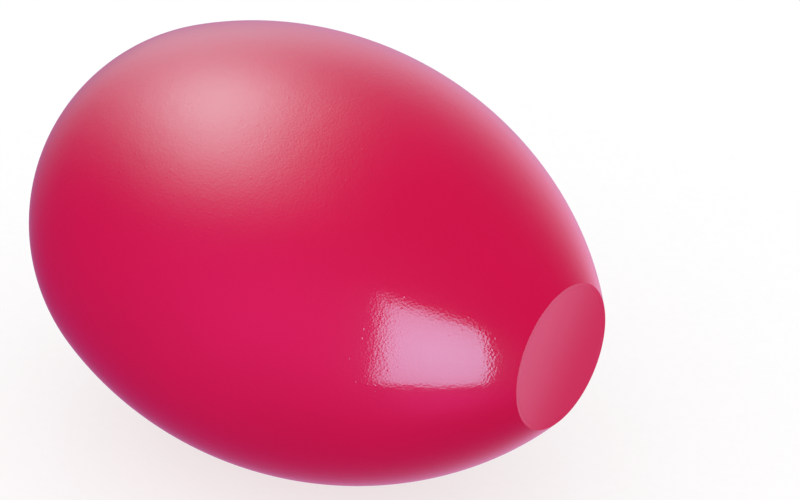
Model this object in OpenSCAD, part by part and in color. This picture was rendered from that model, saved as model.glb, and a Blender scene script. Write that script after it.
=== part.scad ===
// Egg shaker: a hollow moulded egg with a flat small end, closed there by a press-in
// plug, and loose steel balls inside. It lies on its side on the XY plane: the egg's own
// axis is along X, the flat end faces +X, and the origin is below the middle of its box.

/* [Egg] */
// Diameter at the widest point
egg_d = 44; // [40:0.5:48]
// Radius of the long arc that forms the sides
side_r = 41; // [38:0.5:46]
// Angle from the widest point, seen from the side arc's centre, where the round end begins
nose_angle = 25; // [20:1:30]
// Diameter of the flat small end
flat_d = 15; // [15:0.5:17]
// Wall thickness of the shell
wall = 1.8; // [1.6:0.1:2.2]

/* [Mouth and plug] */
// Width of the shell's rim that shows around the plug
rim_w = 0.4; // [0.35:0.05:0.7]
// Thickness of the plug's flange
flange_t = 1.4; // [1:0.1:1.6]
// Diameter of the bore that the plug is pressed into
bore_d = 11; // [9:0.5:11]
// Length of the collar around the bore, from the flat end inwards
collar_len = 6; // [6:0.5:8]
// Wall thickness of the collar
collar_wall = 1.6; // [1.4:0.1:1.8]
// Wall thickness of the plug's hollow spigot
spigot_wall = 1.4; // [1:0.1:2]
// Height of the spigot's two gripping ribs
rib_h = 0.12; // [0.08:0.02:0.2]

/* [Balls] */
// Diameter of one ball
ball_d = 4; // [3.5:0.1:4.5]
// Balls in the middle row of the resting layer
middle_row = 8; // [6:1:8]
// Rows of balls on each side of the middle row
side_rows = 3; // [2:1:3]
// Gap between neighbouring balls, and between a ball and the wall
ball_gap = 0.1; // [0.05:0.05:0.15]
// Where the layer's middle lies along X, from the widest point
layer_shift = -2.2; // [-3:0.1:1]

/* [Hidden] */
$fn = 180;
// Side arc: its centre lies across the axis from the side that it forms.
egg_r = egg_d / 2;
flat_r = flat_d / 2;
side_drop = side_r - egg_r;
// The round end is a sphere, tangent to the side arc at nose_angle.
nose_r = side_r - side_drop / cos(nose_angle);
nose_x = -side_drop * tan(nose_angle);
back_x = nose_x - nose_r;
flat_x = side_arc_x(side_r, flat_r);
// From the widest point to the middle of the box
middle_x = (flat_x + back_x) / 2;
// Larger than any section
far = 2 * egg_d;
// Mouth: the flange's seat, the least thickness behind it, and the bore
flange_r = flat_r - rim_w;
seat_x = flat_x - flange_t;
seat_web = 0.6;
bore_r = bore_d / 2;
collar_x = flat_x - collar_len;
// Plug: its spigot stops short of the collar's end, and its hollow short of the flange
spigot_clearance = 0.05;
spigot_r = bore_r - spigot_clearance;
spigot_short = 0.4;
spigot_x = collar_x + spigot_short;
spigot_floor = spigot_wall / 2;
lead_in = 0.5;
// Distances of the ribs behind the flange
rib_setbacks = [1.2, 2.8];
// Balls
ball_r = ball_d / 2;
ball_facets = 48;
ball_pitch = ball_d + ball_gap;
row_pitch = ball_pitch * sin(60);
ball_wall = wall + ball_r + ball_gap / 2;
BALLS = [
    for (row = [-side_rows : side_rows])
        let (count = middle_row - abs(row))
            for (i = [0 : count - 1])
                [layer_shift + (i - (count - 1) / 2) * ball_pitch, row * row_pitch]
];

// Distance along the axis at which a side arc of this radius is at this distance from the axis
function side_arc_x(arc_r, radius) = sqrt(pow(arc_r, 2) - pow(radius + side_drop, 2));

// Distance from the axis, at x, of the surface that lies inset inside the outer one
function egg_radius(x, inset) =
    x < nose_x - (nose_r - inset) * sin(nose_angle)
        ? sqrt(pow(nose_r - inset, 2) - pow(x - nose_x, 2))
        : sqrt(pow(side_r - inset, 2) - pow(x, 2)) - side_drop;

// Height of a resting ball's centre below the axis
function ball_depth(p) = sqrt(pow(egg_radius(p[0], ball_wall), 2) - pow(p[1], 2));

function ball_name(i) = str("ball_", i < 9 ? "0" : "", i + 1);

// Turns a shape made about Z, with the flat end up, to lie along X above the plane.
module lay_down() {
    translate([-middle_x, 0, egg_r]) rotate([0, 90, 0]) children();
}

// Half section of the egg, its axis along Y: the sides and the round end, to the flat end.
module egg_section(inset, end) {
    reach = [far * cos(nose_angle), nose_x - far * sin(nose_angle)];
    intersection() {
        translate([-side_drop, 0]) circle(side_r - inset);
        polygon([[0, nose_x], reach, [far, end], [0, end]]);
    }
    intersection() {
        translate([0, nose_x]) circle(nose_r - inset);
        polygon([[0, nose_x], [0, -far], [far, -far], reach]);
    }
}

// One-piece shell: the hollow egg, with a collar inside its mouth and a seat for the flange.
module shell() {
    color("#cf1a4a") lay_down() rotate_extrude() difference() {
        union() {
            difference() {
                egg_section(0, flat_x);
                egg_section(wall, seat_x - seat_web);
            }
            translate([bore_r, collar_x]) square([collar_wall, collar_len]);
        }
        translate([0, collar_x - wall]) square([bore_r, far]);
        translate([0, seat_x]) square([flange_r, far]);
    }
}

// Spigot of the plug, along Z: it has a lead-in at its inner end and is hollow from there.
module plug_spigot() {
    difference() {
        union() {
            translate([0, 0, spigot_x + lead_in]) cylinder(r = spigot_r, h = seat_x - spigot_x);
            translate([0, 0, spigot_x]) cylinder(r1 = spigot_r - lead_in, r2 = spigot_r, h = lead_in);
            for (setback = rib_setbacks)
                translate([0, 0, seat_x - setback])
                    rotate_extrude() translate([spigot_r, 0]) circle(rib_h);
        }
        translate([0, 0, seat_x - spigot_floor - far]) cylinder(r = spigot_r - spigot_wall, h = far);
    }
}

// Press-in plug that closes the mouth; its outer face is the flat end.
module end_plug() {
    color("#d34a70") lay_down() {
        translate([0, 0, seat_x]) cylinder(r = flange_r, h = flange_t);
        plug_spigot();
    }
}

// One loose ball, resting on the floor of the chamber.
module ball(p) {
    color("silver")
        translate([p[0] - middle_x, p[1], egg_r - ball_depth(p)])
            sphere(ball_r, $fn = ball_facets);
}

shell();
end_plug();
for (i = [0 : len(BALLS) - 1]) ball(BALLS[i]);
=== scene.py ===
"""Looks of the egg shaker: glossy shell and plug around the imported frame, in metres."""
import math

import bmesh
import bpy
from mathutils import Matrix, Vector


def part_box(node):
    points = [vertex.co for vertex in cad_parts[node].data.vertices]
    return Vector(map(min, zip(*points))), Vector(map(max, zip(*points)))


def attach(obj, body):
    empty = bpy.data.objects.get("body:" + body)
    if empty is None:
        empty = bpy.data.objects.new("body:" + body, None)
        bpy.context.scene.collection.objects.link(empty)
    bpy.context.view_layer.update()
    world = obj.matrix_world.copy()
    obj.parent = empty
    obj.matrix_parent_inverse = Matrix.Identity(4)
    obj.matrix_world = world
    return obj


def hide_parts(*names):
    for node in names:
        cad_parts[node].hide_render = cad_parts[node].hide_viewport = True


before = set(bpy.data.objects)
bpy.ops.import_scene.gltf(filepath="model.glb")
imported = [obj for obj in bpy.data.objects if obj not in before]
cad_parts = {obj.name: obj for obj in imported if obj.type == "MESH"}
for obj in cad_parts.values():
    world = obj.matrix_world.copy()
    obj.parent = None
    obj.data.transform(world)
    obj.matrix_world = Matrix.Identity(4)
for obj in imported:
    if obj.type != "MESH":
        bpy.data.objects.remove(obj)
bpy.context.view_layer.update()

MM = 0.001

# Shell and plug, from the frame
shell_lo, shell_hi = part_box("shell")
plug_lo, plug_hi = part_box("end_plug")
EGG_R = (shell_hi.z - shell_lo.z) / 2
AXIS_Z = (shell_hi.z + shell_lo.z) / 2
BACK_X = shell_lo.x
FLAT_X = shell_hi.x
FLANGE_R = (plug_hi.z - plug_lo.z) / 2
PLUG_END_X = plug_lo.x

# Dimensions that the frame's boxes don't give, as in the CAD model
SIDE_R = 41 * MM
NOSE_ANGLE = math.radians(25)
WALL = 1.8 * MM
FLANGE_T = 1.4 * MM
BORE_R = 5.5 * MM
COLLAR_LEN = 6 * MM
COLLAR_WALL = 1.6 * MM
COLLAR_R = BORE_R + COLLAR_WALL
SPIGOT_R = 5.45 * MM
SPIGOT_WALL = 1.4 * MM
SPIGOT_FLOOR = 0.7 * MM
LEAD_IN = 0.5 * MM
RIB_H = 0.12 * MM
RIB_SETBACKS = (1.2 * MM, 2.8 * MM)

# Small edges that only the looks need
EDGE_R = 0.06 * MM
SEAM_BEVEL = 0.008 * MM
SEAM_GAP = 0.002 * MM

# The egg's arcs: the sides are one long arc, the round end is a sphere tangent to it
SIDE_DROP = SIDE_R - EGG_R
NOSE_R = SIDE_R - SIDE_DROP / math.cos(NOSE_ANGLE)
NOSE_X = BACK_X + NOSE_R
WIDEST_X = NOSE_X + SIDE_DROP * math.tan(NOSE_ANGLE)

# Fineness of the turned meshes
RING_POINTS = 288
NOSE_STEPS = 60
SIDE_STEPS = 120
CAVITY_SIDE_STEPS = 80
CAVITY_NOSE_STEPS = 40
SMALL_STEPS = 8
FACE_RINGS = 12
SHARP_ANGLE = math.radians(35)
ON_AXIS = 1e-7


def arc(centre, radius, start, end, steps):
    """Points (along the axis, from the axis) on an arc, angles measured from +X."""
    angles = [start + (end - start) * i / steps for i in range(steps + 1)]
    return [(centre[0] + radius * math.cos(a), centre[1] + radius * math.sin(a)) for a in angles]


def lathe(name, profile, material):
    """A closed solid of revolution about the egg's axis. The profile starts and ends on the axis."""
    bm = bmesh.new()
    rings = []
    for x, r in profile:
        count = 1 if r < ON_AXIS else RING_POINTS
        turn = [2 * math.pi * i / RING_POINTS for i in range(count)]
        rings.append([bm.verts.new((x, r * math.sin(t), AXIS_Z + r * math.cos(t))) for t in turn])
    for a, b in zip(rings, rings[1:]):
        for i in range(RING_POINTS):
            j = (i + 1) % RING_POINTS
            corners = [a[i % len(a)], a[j % len(a)], b[j % len(b)], b[i % len(b)]]
            bm.faces.new(list(dict.fromkeys(corners)))
    bmesh.ops.recalc_face_normals(bm, faces=bm.faces)
    mesh = bpy.data.meshes.new(name)
    bm.to_mesh(mesh)
    bm.free()
    mesh.shade_smooth()
    mesh.set_sharp_from_angle(angle=SHARP_ANGLE)
    mesh.materials.append(material)
    piece = bpy.data.objects.new(name, mesh)
    bpy.context.scene.collection.objects.link(piece)
    return piece


def side_x(radius_of_arc, r):
    """Where the side arc of this radius is at distance r from the axis."""
    return WIDEST_X + math.sqrt(radius_of_arc ** 2 - (r + SIDE_DROP) ** 2)


def shell_outside():
    """The sphere of the round end, the long side arc and the small round at the flat end's edge."""
    side_centre = (WIDEST_X, -SIDE_DROP)
    shoulder = math.pi / 2 + NOSE_ANGLE
    edge_x = FLAT_X - EDGE_R
    edge_r = math.sqrt((SIDE_R - EDGE_R) ** 2 - (edge_x - WIDEST_X) ** 2) - SIDE_DROP
    edge_start = math.atan2(edge_r + SIDE_DROP, edge_x - WIDEST_X)
    outside = arc((NOSE_X, 0), NOSE_R, math.pi, shoulder, NOSE_STEPS)
    outside += arc(side_centre, SIDE_R, shoulder, edge_start, SIDE_STEPS)[1:]
    return outside + arc((edge_x, edge_r), EDGE_R, edge_start, 0, SMALL_STEPS)[1:]


def shell_mouth():
    """The flange's seat, the bore and the end of the collar."""
    seat_r = FLANGE_R + SEAM_GAP
    seat_x = FLAT_X - FLANGE_T
    collar_end = FLAT_X - COLLAR_LEN
    return [(FLAT_X, seat_r + SEAM_BEVEL), (FLAT_X - SEAM_BEVEL, seat_r), (seat_x, seat_r),
            (seat_x, BORE_R), (collar_end, BORE_R), (collar_end, COLLAR_R)]


def shell_inside():
    """The wall of the chamber, from the collar to the round end."""
    inner_r = SIDE_R - WALL
    shoulder = math.pi / 2 + NOSE_ANGLE
    start = math.atan2(COLLAR_R + SIDE_DROP, side_x(inner_r, COLLAR_R) - WIDEST_X)
    inside = arc((WIDEST_X, -SIDE_DROP), inner_r, start, shoulder, CAVITY_SIDE_STEPS)
    return inside + arc((NOSE_X, 0), NOSE_R - WALL, shoulder, math.pi, CAVITY_NOSE_STEPS)[1:]


def plug_profile():
    """The flat face and its flange, the ribbed spigot with its lead-in, and the spigot's hollow."""
    flange_back = FLAT_X - FLANGE_T
    face = [(FLAT_X, FLANGE_R * i / FACE_RINGS) for i in range(FACE_RINGS)]
    face += [(FLAT_X, FLANGE_R - SEAM_BEVEL), (FLAT_X - SEAM_BEVEL, FLANGE_R), (flange_back, FLANGE_R)]
    spigot = [(flange_back, SPIGOT_R)]
    for setback in RIB_SETBACKS:
        spigot += arc((flange_back - setback, SPIGOT_R), RIB_H, 0, math.pi, SMALL_STEPS)
    hollow_r = SPIGOT_R - SPIGOT_WALL
    spigot += [(PLUG_END_X + LEAD_IN, SPIGOT_R), (PLUG_END_X, SPIGOT_R - LEAD_IN), (PLUG_END_X, hollow_r),
               (flange_back - SPIGOT_FLOOR, hollow_r), (flange_back - SPIGOT_FLOOR, 0)]
    return face + spigot


# ---------------------------------------------------------------- materials

class Nodes:
    """Short calls to add nodes to one node tree."""

    def __init__(self, tree):
        self.tree = tree
        tree.nodes.clear()

    def add(self, kind, inputs=None, **settings):
        node = self.tree.nodes.new(kind)
        for key, value in settings.items():
            setattr(node, key, value)
        for key, value in (inputs or {}).items():
            self.put(value, node.inputs[key])
        return node

    def put(self, value, socket):
        if isinstance(value, bpy.types.NodeSocket):
            self.tree.links.new(value, socket)
        else:
            socket.default_value = value

    def maths(self, operation, a, b=0.0):
        return self.add("ShaderNodeMath", {0: a, 1: b}, operation=operation).outputs[0]

    def vector(self, operation, a, b=(0, 0, 0)):
        return self.add("ShaderNodeVectorMath", {0: a, 1: b}, operation=operation)

    def scaled(self, colour, factor):
        node = self.vector("SCALE", colour)
        self.put(factor, node.inputs["Scale"])
        return node.outputs[0]

    def noise(self, where, scale, detail=2.0, roughness=0.5):
        inputs = {"Vector": where, "Scale": scale, "Detail": detail, "Roughness": roughness}
        return self.add("ShaderNodeTexNoise", inputs).outputs["Fac"]

    def span(self, value, low, high, to_low=0.0, to_high=1.0, smooth=False):
        """The value, mapped from low..high to to_low..to_high and held there outside."""
        inputs = {"Value": value, "From Min": low, "From Max": high, "To Min": to_low, "To Max": to_high}
        kind = "SMOOTHSTEP" if smooth else "LINEAR"
        return self.add("ShaderNodeMapRange", inputs, interpolation_type=kind).outputs["Result"]

    def blend(self, factor, a, b):
        """Colour a where the factor is 0, and b where it is 1."""
        node = self.add("ShaderNodeMix", data_type="RGBA")
        wanted = {("Factor", "VALUE"): factor, ("A", "RGBA"): a, ("B", "RGBA"): b}
        for (name, kind), value in wanted.items():
            self.put(value, next(s for s in node.inputs if (s.name, s.type) == (name, kind)))
        return next(s for s in node.outputs if s.type == "RGBA")

    def bump(self, height, distance, strength=1.0, normal=None):
        inputs = {"Height": height, "Distance": distance, "Strength": strength}
        if normal is not None:
            inputs["Normal"] = normal
        return self.add("ShaderNodeBump", inputs).outputs["Normal"]


def new_material(name):
    material = bpy.data.materials.new(name)
    material.use_nodes = True
    return material, Nodes(material.node_tree)


# Red plastic. Texture scales are in features per metre.
RED = (0.61, 0.001, 0.055, 1)
DEEP_RED = (0.59, 0.001, 0.052, 1)
MOTTLE_SCALE = 90.0
SPECK_SCALE = 2600.0
SPECK_SHARE = 0.2
NOISE_MIDDLE = (0.35, 0.65)
PLASTIC_IOR = 1.5
HAZE_ROUGHNESS = 0.30
HAZE_LEVEL = 0.08
COAT_WEIGHT = 0.8
# Coat roughness and height of the orange peel: on the moulded body, and on the flat end
BODY_FINISH = (0.03, 0.0066 * MM)
FLAT_FINISH = (0.09, 0.0018 * MM)
PEEL_SCALE = 4200.0
# Height of the peel next to the mouth, as a share of that at the widest part
MOUTH_CALM = 0.75
WAVE_SCALE = 450.0
WAVE_HEIGHT = 0.02 * MM
# Dust nibs: one in about half of the cells, its radius as a share of a cell
NIB_SCALE = 1200.0
NIB_CHOICE = (0.50, 0.54)
NIB_RADIUS = 0.20
NIB_HEIGHT = 0.010 * MM


def red_paint(n, where):
    """Red with faint mottling and specks."""
    mottle = n.maths("MULTIPLY", n.noise(where, MOTTLE_SCALE, 3.0, 0.55), 1 - SPECK_SHARE)
    speck = n.maths("MULTIPLY", n.noise(where, SPECK_SCALE, 1.0), SPECK_SHARE)
    return n.blend(n.span(n.maths("ADD", mottle, speck), *NOISE_MIDDLE), DEEP_RED, RED)


def dust_nibs(n, where):
    """Height of small round nibs, in some of the cells only."""
    cells = n.add("ShaderNodeTexVoronoi", {"Vector": where, "Scale": NIB_SCALE, "Randomness": 1.0})
    chance = n.add("ShaderNodeSeparateColor", {"Color": cells.outputs["Color"]}).outputs["Red"]
    dome = n.span(cells.outputs["Distance"], 0.0, NIB_RADIUS, 1.0, 0.0, smooth=True)
    return n.maths("MULTIPLY", dome, n.span(chance, *NIB_CHOICE))


def moulded_surface(n, where, strength):
    """Normal of the coat: shallow waves, orange peel and dust nibs."""
    peel = n.add("ShaderNodeTexVoronoi", {"Vector": where, "Scale": PEEL_SCALE}).outputs["Distance"]
    normal = n.bump(n.noise(where, WAVE_SCALE, 2.0, 0.5), WAVE_HEIGHT, strength)
    normal = n.bump(peel, BODY_FINISH[1], strength, normal)
    return n.bump(dust_nibs(n, where), NIB_HEIGHT, strength, normal)


def red_gloss(name):
    """Pigmented gloss plastic, smoother and slightly duller on the flat end."""
    material, n = new_material(name)
    where = n.add("ShaderNodeTexCoord").outputs["Object"]
    along = n.add("ShaderNodeSeparateXYZ", {"Vector": where}).outputs["X"]
    flat = n.span(along, FLAT_X - 2 * EDGE_R, FLAT_X - EDGE_R)
    calm = n.span(along, WIDEST_X, FLAT_X, 1.0, MOUTH_CALM, smooth=True)
    height = n.span(flat, 0.0, 1.0, 1.0, FLAT_FINISH[1] / BODY_FINISH[1])
    normal = moulded_surface(n, where, n.maths("MULTIPLY", calm, height))
    shader = n.add("ShaderNodeBsdfPrincipled", {
        "Base Color": red_paint(n, where),
        "Roughness": HAZE_ROUGHNESS, "IOR": PLASTIC_IOR, "Specular IOR Level": HAZE_LEVEL,
        "Coat Roughness": n.span(flat, 0.0, 1.0, BODY_FINISH[0], FLAT_FINISH[0]),
        "Coat Weight": COAT_WEIGHT, "Coat IOR": PLASTIC_IOR,
        "Normal": normal, "Coat Normal": normal})
    n.add("ShaderNodeOutputMaterial", {"Surface": shader.outputs["BSDF"]})
    return material


STEEL_DARK = (0.50, 0.50, 0.52, 1)
STEEL_BRIGHT = (0.62, 0.62, 0.63, 1)
STEEL_TINT_SCALE = 300.0
SCUFF_SCALE = 1500.0
SCUFF_STRETCH = (1.0, 3.0, 1.0)
SCUFF_HEIGHT = 0.002 * MM
SCUFF_ROUGHNESS = (0.12, 0.3)
SCUFF_MIDDLE = (0.3, 0.7)


def ball_steel():
    """Bright rolled steel with fine tumbling scuffs."""
    material, n = new_material("ball_steel_look")
    where = n.add("ShaderNodeTexCoord").outputs["Object"]
    stretched = n.vector("MULTIPLY", where, SCUFF_STRETCH).outputs[0]
    scuff = n.noise(stretched, SCUFF_SCALE, 4.0, 0.65)
    tone = n.span(n.noise(where, STEEL_TINT_SCALE), *SCUFF_MIDDLE)
    shader = n.add("ShaderNodeBsdfPrincipled", {
        "Base Color": n.blend(tone, STEEL_DARK, STEEL_BRIGHT), "Metallic": 1.0,
        "Roughness": n.span(scuff, *SCUFF_MIDDLE, *SCUFF_ROUGHNESS),
        "Normal": n.bump(scuff, SCUFF_HEIGHT)})
    n.add("ShaderNodeOutputMaterial", {"Surface": shader.outputs["BSDF"]})
    return material


# ---------------------------------------------------------------- studio

def direction(azimuth, elevation):
    """Unit vector towards a point of the studio. Azimuth 0 is towards -Y and 90 towards +X, in degrees."""
    a, e = math.radians(azimuth), math.radians(elevation)
    return Vector((math.sin(a) * math.cos(e), -math.cos(a) * math.cos(e), math.sin(e)))


# Colours of the lights that show in the gloss
COOL_WHITE = (0.5, 1.0, 1.0)
PALE_PINK = (1.0, 0.7, 0.9)
DEEP_PINK = (1.0, 0.1, 0.7)
# Soft lights that show in the gloss: azimuth, elevation and spread in degrees, and their radiance
KEY_LIGHT = (-105, 50, 15, 5.5, COOL_WHITE)
TOP_LIGHT = (-65, 55, 15, 4.0, COOL_WHITE)
SIDE_LIGHT = (-130, 20, 20, 1.5, COOL_WHITE)
BACK_LIGHT = (180, 0, 20, 0.8, PALE_PINK)
LOW_BACK_LIGHT = (180, -40, 20, 0.8, PALE_PINK)
FRONT_GLOW = (0, 0, 30, 1.5, DEEP_PINK)
LOW_GLOW = (45, -35, 10, 1.5, DEEP_PINK)
SOFT_LIGHTS = (KEY_LIGHT, TOP_LIGHT, SIDE_LIGHT, BACK_LIGHT, LOW_BACK_LIGHT, FRONT_GLOW, LOW_GLOW)
SURROUNDINGS = (0.3, 0.03, 0.2)
# Softbox that shows as a sharp patch: azimuth and elevation of its corners, clockwise from the
# top left, and how far each edge fades, in radians, starting with the top edge
SOFTBOX_CORNERS = ((33, 27), (62, 17), (60, 2), (55, -24), (26, -24))
SOFTBOX_FADES = (0.08, 0.04, 0.03, 0.04, 0.06)
# What shines through it, as in SOFT_LIGHTS
BLUE_WHITE = (0.35, 0.7, 1.0)
SOFTBOX_LIGHT = (45, 0, 30, 12.0, BLUE_WHITE)


def soft_light(n, towards, azimuth, elevation, spread, radiance, colour):
    """A light of soft outline, as a radiance in each direction."""
    facing = n.vector("DOT_PRODUCT", towards, tuple(direction(azimuth, elevation))).outputs["Value"]
    sharpness = 1 / math.radians(spread) ** 2
    glow = n.maths("EXPONENT", n.maths("MULTIPLY", n.maths("SUBTRACT", facing, 1.0), sharpness))
    return n.scaled(colour, n.maths("MULTIPLY", glow, radiance))


def softbox(n, towards):
    """Radiance of the softbox: zero outside its edges, brightest towards its middle."""
    corners = [direction(*c) for c in SOFTBOX_CORNERS]
    inside = 1.0
    for a, b, fade in zip(corners, corners[1:] + corners[:1], SOFTBOX_FADES):
        edge = b.cross(a).normalized()
        depth = n.vector("DOT_PRODUCT", towards, tuple(edge)).outputs["Value"]
        inside = n.maths("MULTIPLY", inside, n.span(depth, -fade, fade, smooth=True))
    return n.scaled(soft_light(n, towards, *SOFTBOX_LIGHT), inside)


def glossy_world():
    """Studio that only reflections see: lights of soft outline, one sharp softbox, dim surroundings."""
    world = bpy.data.worlds.new("studio")
    bpy.context.scene.world = world
    world.use_nodes = True
    n = Nodes(world.node_tree)
    towards = n.vector("NORMALIZE", n.add("ShaderNodeTexCoord").outputs["Generated"]).outputs[0]
    total = n.vector("ADD", softbox(n, towards), SURROUNDINGS).outputs[0]
    for light in SOFT_LIGHTS:
        total = n.vector("ADD", total, soft_light(n, towards, *light)).outputs[0]
    background = n.add("ShaderNodeBackground", {"Color": total, "Strength": 1.0})
    n.add("ShaderNodeOutputWorld", {"Surface": background.outputs[0]})
    seen = world.cycles_visibility
    seen.camera = seen.diffuse = seen.transmission = False


def set_seen_by(obj, camera=False, diffuse=False, glossy=False, shadow=False):
    obj.visible_camera = camera
    obj.visible_diffuse = diffuse
    obj.visible_glossy = glossy
    obj.visible_transmission = False
    obj.visible_volume_scatter = False
    obj.visible_shadow = shadow


DOME_R = 3.0
BACKDROP_R = 2.94
WHITE = (1, 1, 1, 1)
# Light on matt surfaces: from every side, and more from +X, -X, +Y, -Y, +Z and -Z
LIGHT_ALL_ROUND = 0.1
LIGHT_FROM = ((0.5, 0.2), (0.3, 0.7), (0.9, 0.2))


def emissive(name):
    """A glowing material that no lamp sampling is spent on."""
    material, n = new_material(name)
    material.cycles.emission_sampling = "NONE"
    return material, n


def sphere_mesh(name, radius):
    bm = bmesh.new()
    bmesh.ops.create_uvsphere(bm, u_segments=64, v_segments=32, radius=radius)
    mesh = bpy.data.meshes.new(name)
    bm.to_mesh(mesh)
    bm.free()
    mesh.shade_smooth()
    return mesh


def stage_piece(name, mesh, material, **seen):
    """Part of the studio, seen only by the kinds of ray that are named."""
    mesh.materials.append(material)
    piece = bpy.data.objects.new(name, mesh)
    bpy.context.scene.collection.objects.link(piece)
    set_seen_by(piece, **seen)
    return piece


def fill_light_dome():
    """Smooth light from all around on matt surfaces, strongest from the front and above."""
    material, n = emissive("fill_light")
    place = n.add("ShaderNodeNewGeometry").outputs["Position"]
    towards = n.vector("NORMALIZE", place).outputs[0]
    parts = n.add("ShaderNodeSeparateXYZ", {"Vector": towards}).outputs
    light = LIGHT_ALL_ROUND
    for part, (ahead, behind) in zip(parts, LIGHT_FROM):
        light = n.maths("ADD", light, n.maths("MULTIPLY", n.maths("MAXIMUM", part, 0.0), ahead))
        light = n.maths("ADD", light, n.maths("MULTIPLY", n.maths("MINIMUM", part, 0.0), -behind))
    emission = n.add("ShaderNodeEmission", {"Color": WHITE, "Strength": light})
    n.add("ShaderNodeOutputMaterial", {"Surface": emission.outputs[0]})
    stage_piece("fill_light_dome", sphere_mesh("fill_light_dome", DOME_R), material, diffuse=True)


def backdrop():
    """Plain pale surroundings behind the object."""
    material, n = emissive("backdrop_paper")
    emission = n.add("ShaderNodeEmission", {"Color": WHITE, "Strength": 1.0})
    n.add("ShaderNodeOutputMaterial", {"Surface": emission.outputs[0]})
    stage_piece("backdrop", sphere_mesh("backdrop", BACKDROP_R), material, camera=True)


FLOOR_HALF = 2.6
FLOOR_GLOW = 0.69
PAPER_DARK = (0.29, 0.29, 0.29, 1)
PAPER_BRIGHT = (0.32, 0.32, 0.32, 1)
PAPER_SCALE = 900.0


def floor():
    """Plain pale paper. Part of its brightness is its own, so that the shadow on it stays faint."""
    bm = bmesh.new()
    bmesh.ops.create_grid(bm, x_segments=2, y_segments=2, size=FLOOR_HALF)
    mesh = bpy.data.meshes.new("floor")
    bm.to_mesh(mesh)
    bm.free()
    material, n = emissive("floor_paper")
    where = n.add("ShaderNodeTexCoord").outputs["Object"]
    paper = n.blend(n.noise(where, PAPER_SCALE, 3.0), PAPER_DARK, PAPER_BRIGHT)
    matt = n.add("ShaderNodeBsdfDiffuse", {"Color": paper})
    glow = n.add("ShaderNodeEmission", {"Color": WHITE, "Strength": FLOOR_GLOW})
    both = n.add("ShaderNodeAddShader", {0: matt.outputs[0], 1: glow.outputs[0]})
    n.add("ShaderNodeOutputMaterial", {"Surface": both.outputs[0]})
    stage_piece("floor", mesh, material, camera=True)


# Glowing card lying behind the flat end, seen in the gloss only, that paints a reflection on the flat end:
# its corners, and how far its edges fade
CARD_LOW = (34 * MM, 4 * MM)
CARD_HIGH = (115 * MM, 95 * MM)
CARD_FADE = 8 * MM
CARD_HEIGHT = 0.2 * MM
# Tones of the painted reflection: the dim one is a painted shadow standing in for the egg's shadow on the
# floor, the bright one stands in for lit floor
CARD_PAINTED_SHADOW = (1.1, 0.2, 0.5, 1)
CARD_PAINTED_LIGHT = (1.7, 1.0, 1.6, 1)
# A point of the flat end, in from the side of painted shadow (-) to the side of painted light (+) through
# its centre
CARD_START = -7.5 * MM
CARD_STOP = 4.5 * MM


def card_mesh():
    size = (CARD_HIGH[0] - CARD_LOW[0], CARD_HIGH[1] - CARD_LOW[1])
    bm = bmesh.new()
    corners = [(0, 0), (size[0], 0), size, (0, size[1])]
    bm.faces.new([bm.verts.new((x, y, 0)) for x, y in corners])
    mesh = bpy.data.meshes.new("painted_reflection_card")
    bm.to_mesh(mesh)
    bm.free()
    return mesh


def painted_reflection_tone(n, x, y):
    """Colour of a place on the card, by the point of the flat end that mirrors it to the camera: a painted
    reflection, dim where it stands in for the egg's shadow on the floor.
    """
    back = direction(CAMERA_AZIMUTH, CAMERA_ELEVATION)
    run = n.maths("SUBTRACT", x, FLAT_X)
    height = n.maths("MULTIPLY", run, back.z / back.x)
    side = n.maths("ADD", y, n.maths("MULTIPLY", run, back.y / back.x))
    across = n.maths("SUBTRACT", n.maths("SUBTRACT", height, side), AXIS_Z)
    along = n.maths("MULTIPLY", across, math.sqrt(0.5))
    return n.blend(n.span(along, CARD_START, CARD_STOP, smooth=True), CARD_PAINTED_SHADOW, CARD_PAINTED_LIGHT)


def card_fade(n, x, y):
    """1 on the card, falling to 0 at its edges."""
    fade = 1.0
    for value, low, high in ((x, CARD_LOW[0], CARD_HIGH[0]), (y, CARD_LOW[1], CARD_HIGH[1])):
        fade = n.maths("MULTIPLY", fade, n.span(value, low, low + CARD_FADE, smooth=True))
        fade = n.maths("MULTIPLY", fade, n.span(value, high, high - CARD_FADE, smooth=True))
    return fade


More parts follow.
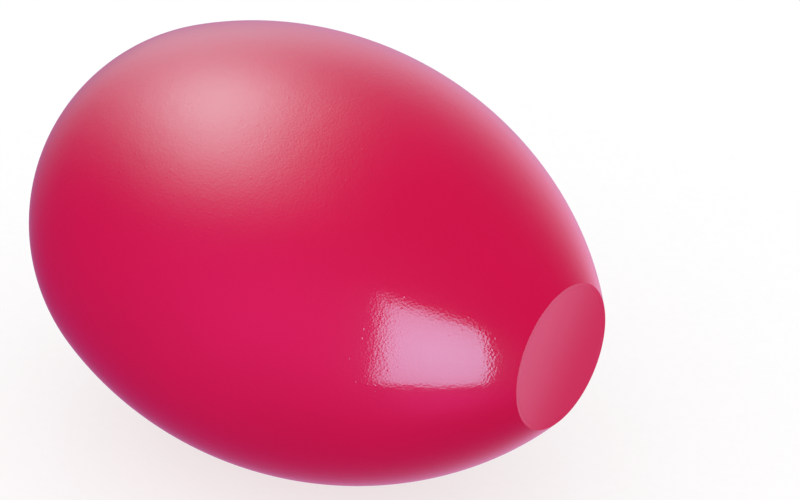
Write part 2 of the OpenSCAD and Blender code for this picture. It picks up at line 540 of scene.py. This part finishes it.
def painted_reflection_card():
    """A glowing card, bright towards one side, so that the flat end shows a painted reflection changing
    softly from pink to red, its dim side a painted shadow of the egg on the floor.
    """
    material, n = emissive("painted_reflection_card_glow")
    place = n.add("ShaderNodeNewGeometry").outputs["Position"]
    x, y = n.add("ShaderNodeSeparateXYZ", {"Vector": place}).outputs[:2]
    # Painted reflection: the card glows in these tones so that the flat end mirrors them
    emission = n.add("ShaderNodeEmission", {"Color": painted_reflection_tone(n, x, y), "Strength": 1.0})
    clear = n.add("ShaderNodeBsdfTransparent")
    inputs = {0: card_fade(n, x, y), 1: clear.outputs[0], 2: emission.outputs[0]}
    faded = n.add("ShaderNodeMixShader", inputs)
    n.add("ShaderNodeOutputMaterial", {"Surface": faded.outputs[0]})
    card = stage_piece("painted_reflection_card", card_mesh(), material, glossy=True)
    card.location = (CARD_LOW[0], CARD_LOW[1], CARD_HEIGHT)


# Camera: a long lens, looking down on the egg with its flat end turned to the right
CAMERA_AZIMUTH = 36.197
CAMERA_ELEVATION = 33.046
CAMERA_DISTANCE = 0.55
CAMERA_LENS = 250.39
SENSOR_WIDTH = 36
CAMERA_REACH = (0.01, 20)
# The point that it looks at, right of and above the middle of the egg's widest section
AIM_RIGHT = 9.760 * MM
AIM_UP = 0.178 * MM


def camera():
    data = bpy.data.cameras.new("camera")
    data.sensor_width = SENSOR_WIDTH
    data.lens = CAMERA_LENS
    data.clip_start, data.clip_end = CAMERA_REACH
    obj = bpy.data.objects.new("camera", data)
    back = direction(CAMERA_AZIMUTH, CAMERA_ELEVATION)
    right = Vector((math.cos(math.radians(CAMERA_AZIMUTH)), math.sin(math.radians(CAMERA_AZIMUTH)), 0))
    up = back.cross(right)
    aim = Vector((WIDEST_X, 0, AXIS_Z)) + AIM_RIGHT * right + AIM_UP * up
    obj.location = aim + CAMERA_DISTANCE * back
    obj.rotation_mode = "QUATERNION"
    obj.rotation_quaternion = (-back).to_track_quat("-Z", "Y")
    bpy.context.scene.collection.objects.link(obj)
    bpy.context.scene.camera = obj


def main():
    camera()
    shell_look = red_gloss("shell_look")
    plug_look = red_gloss("plug_look")
    shell = lathe("shell_moulding", shell_outside() + shell_mouth() + shell_inside(), shell_look)
    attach(shell, "egg")
    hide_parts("shell")
    plug = lathe("end_plug_moulding", plug_profile(), plug_look)
    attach(plug, "egg")
    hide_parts("end_plug")
    steel = ball_steel()
    for name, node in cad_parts.items():
        if name.startswith("ball_"):
            node.data.materials.clear()
            node.data.materials.append(steel)
    glossy_world()
    fill_light_dome()
    backdrop()
    floor()
    painted_reflection_card()
    bpy.context.scene.view_settings.view_transform = "Standard"


main()
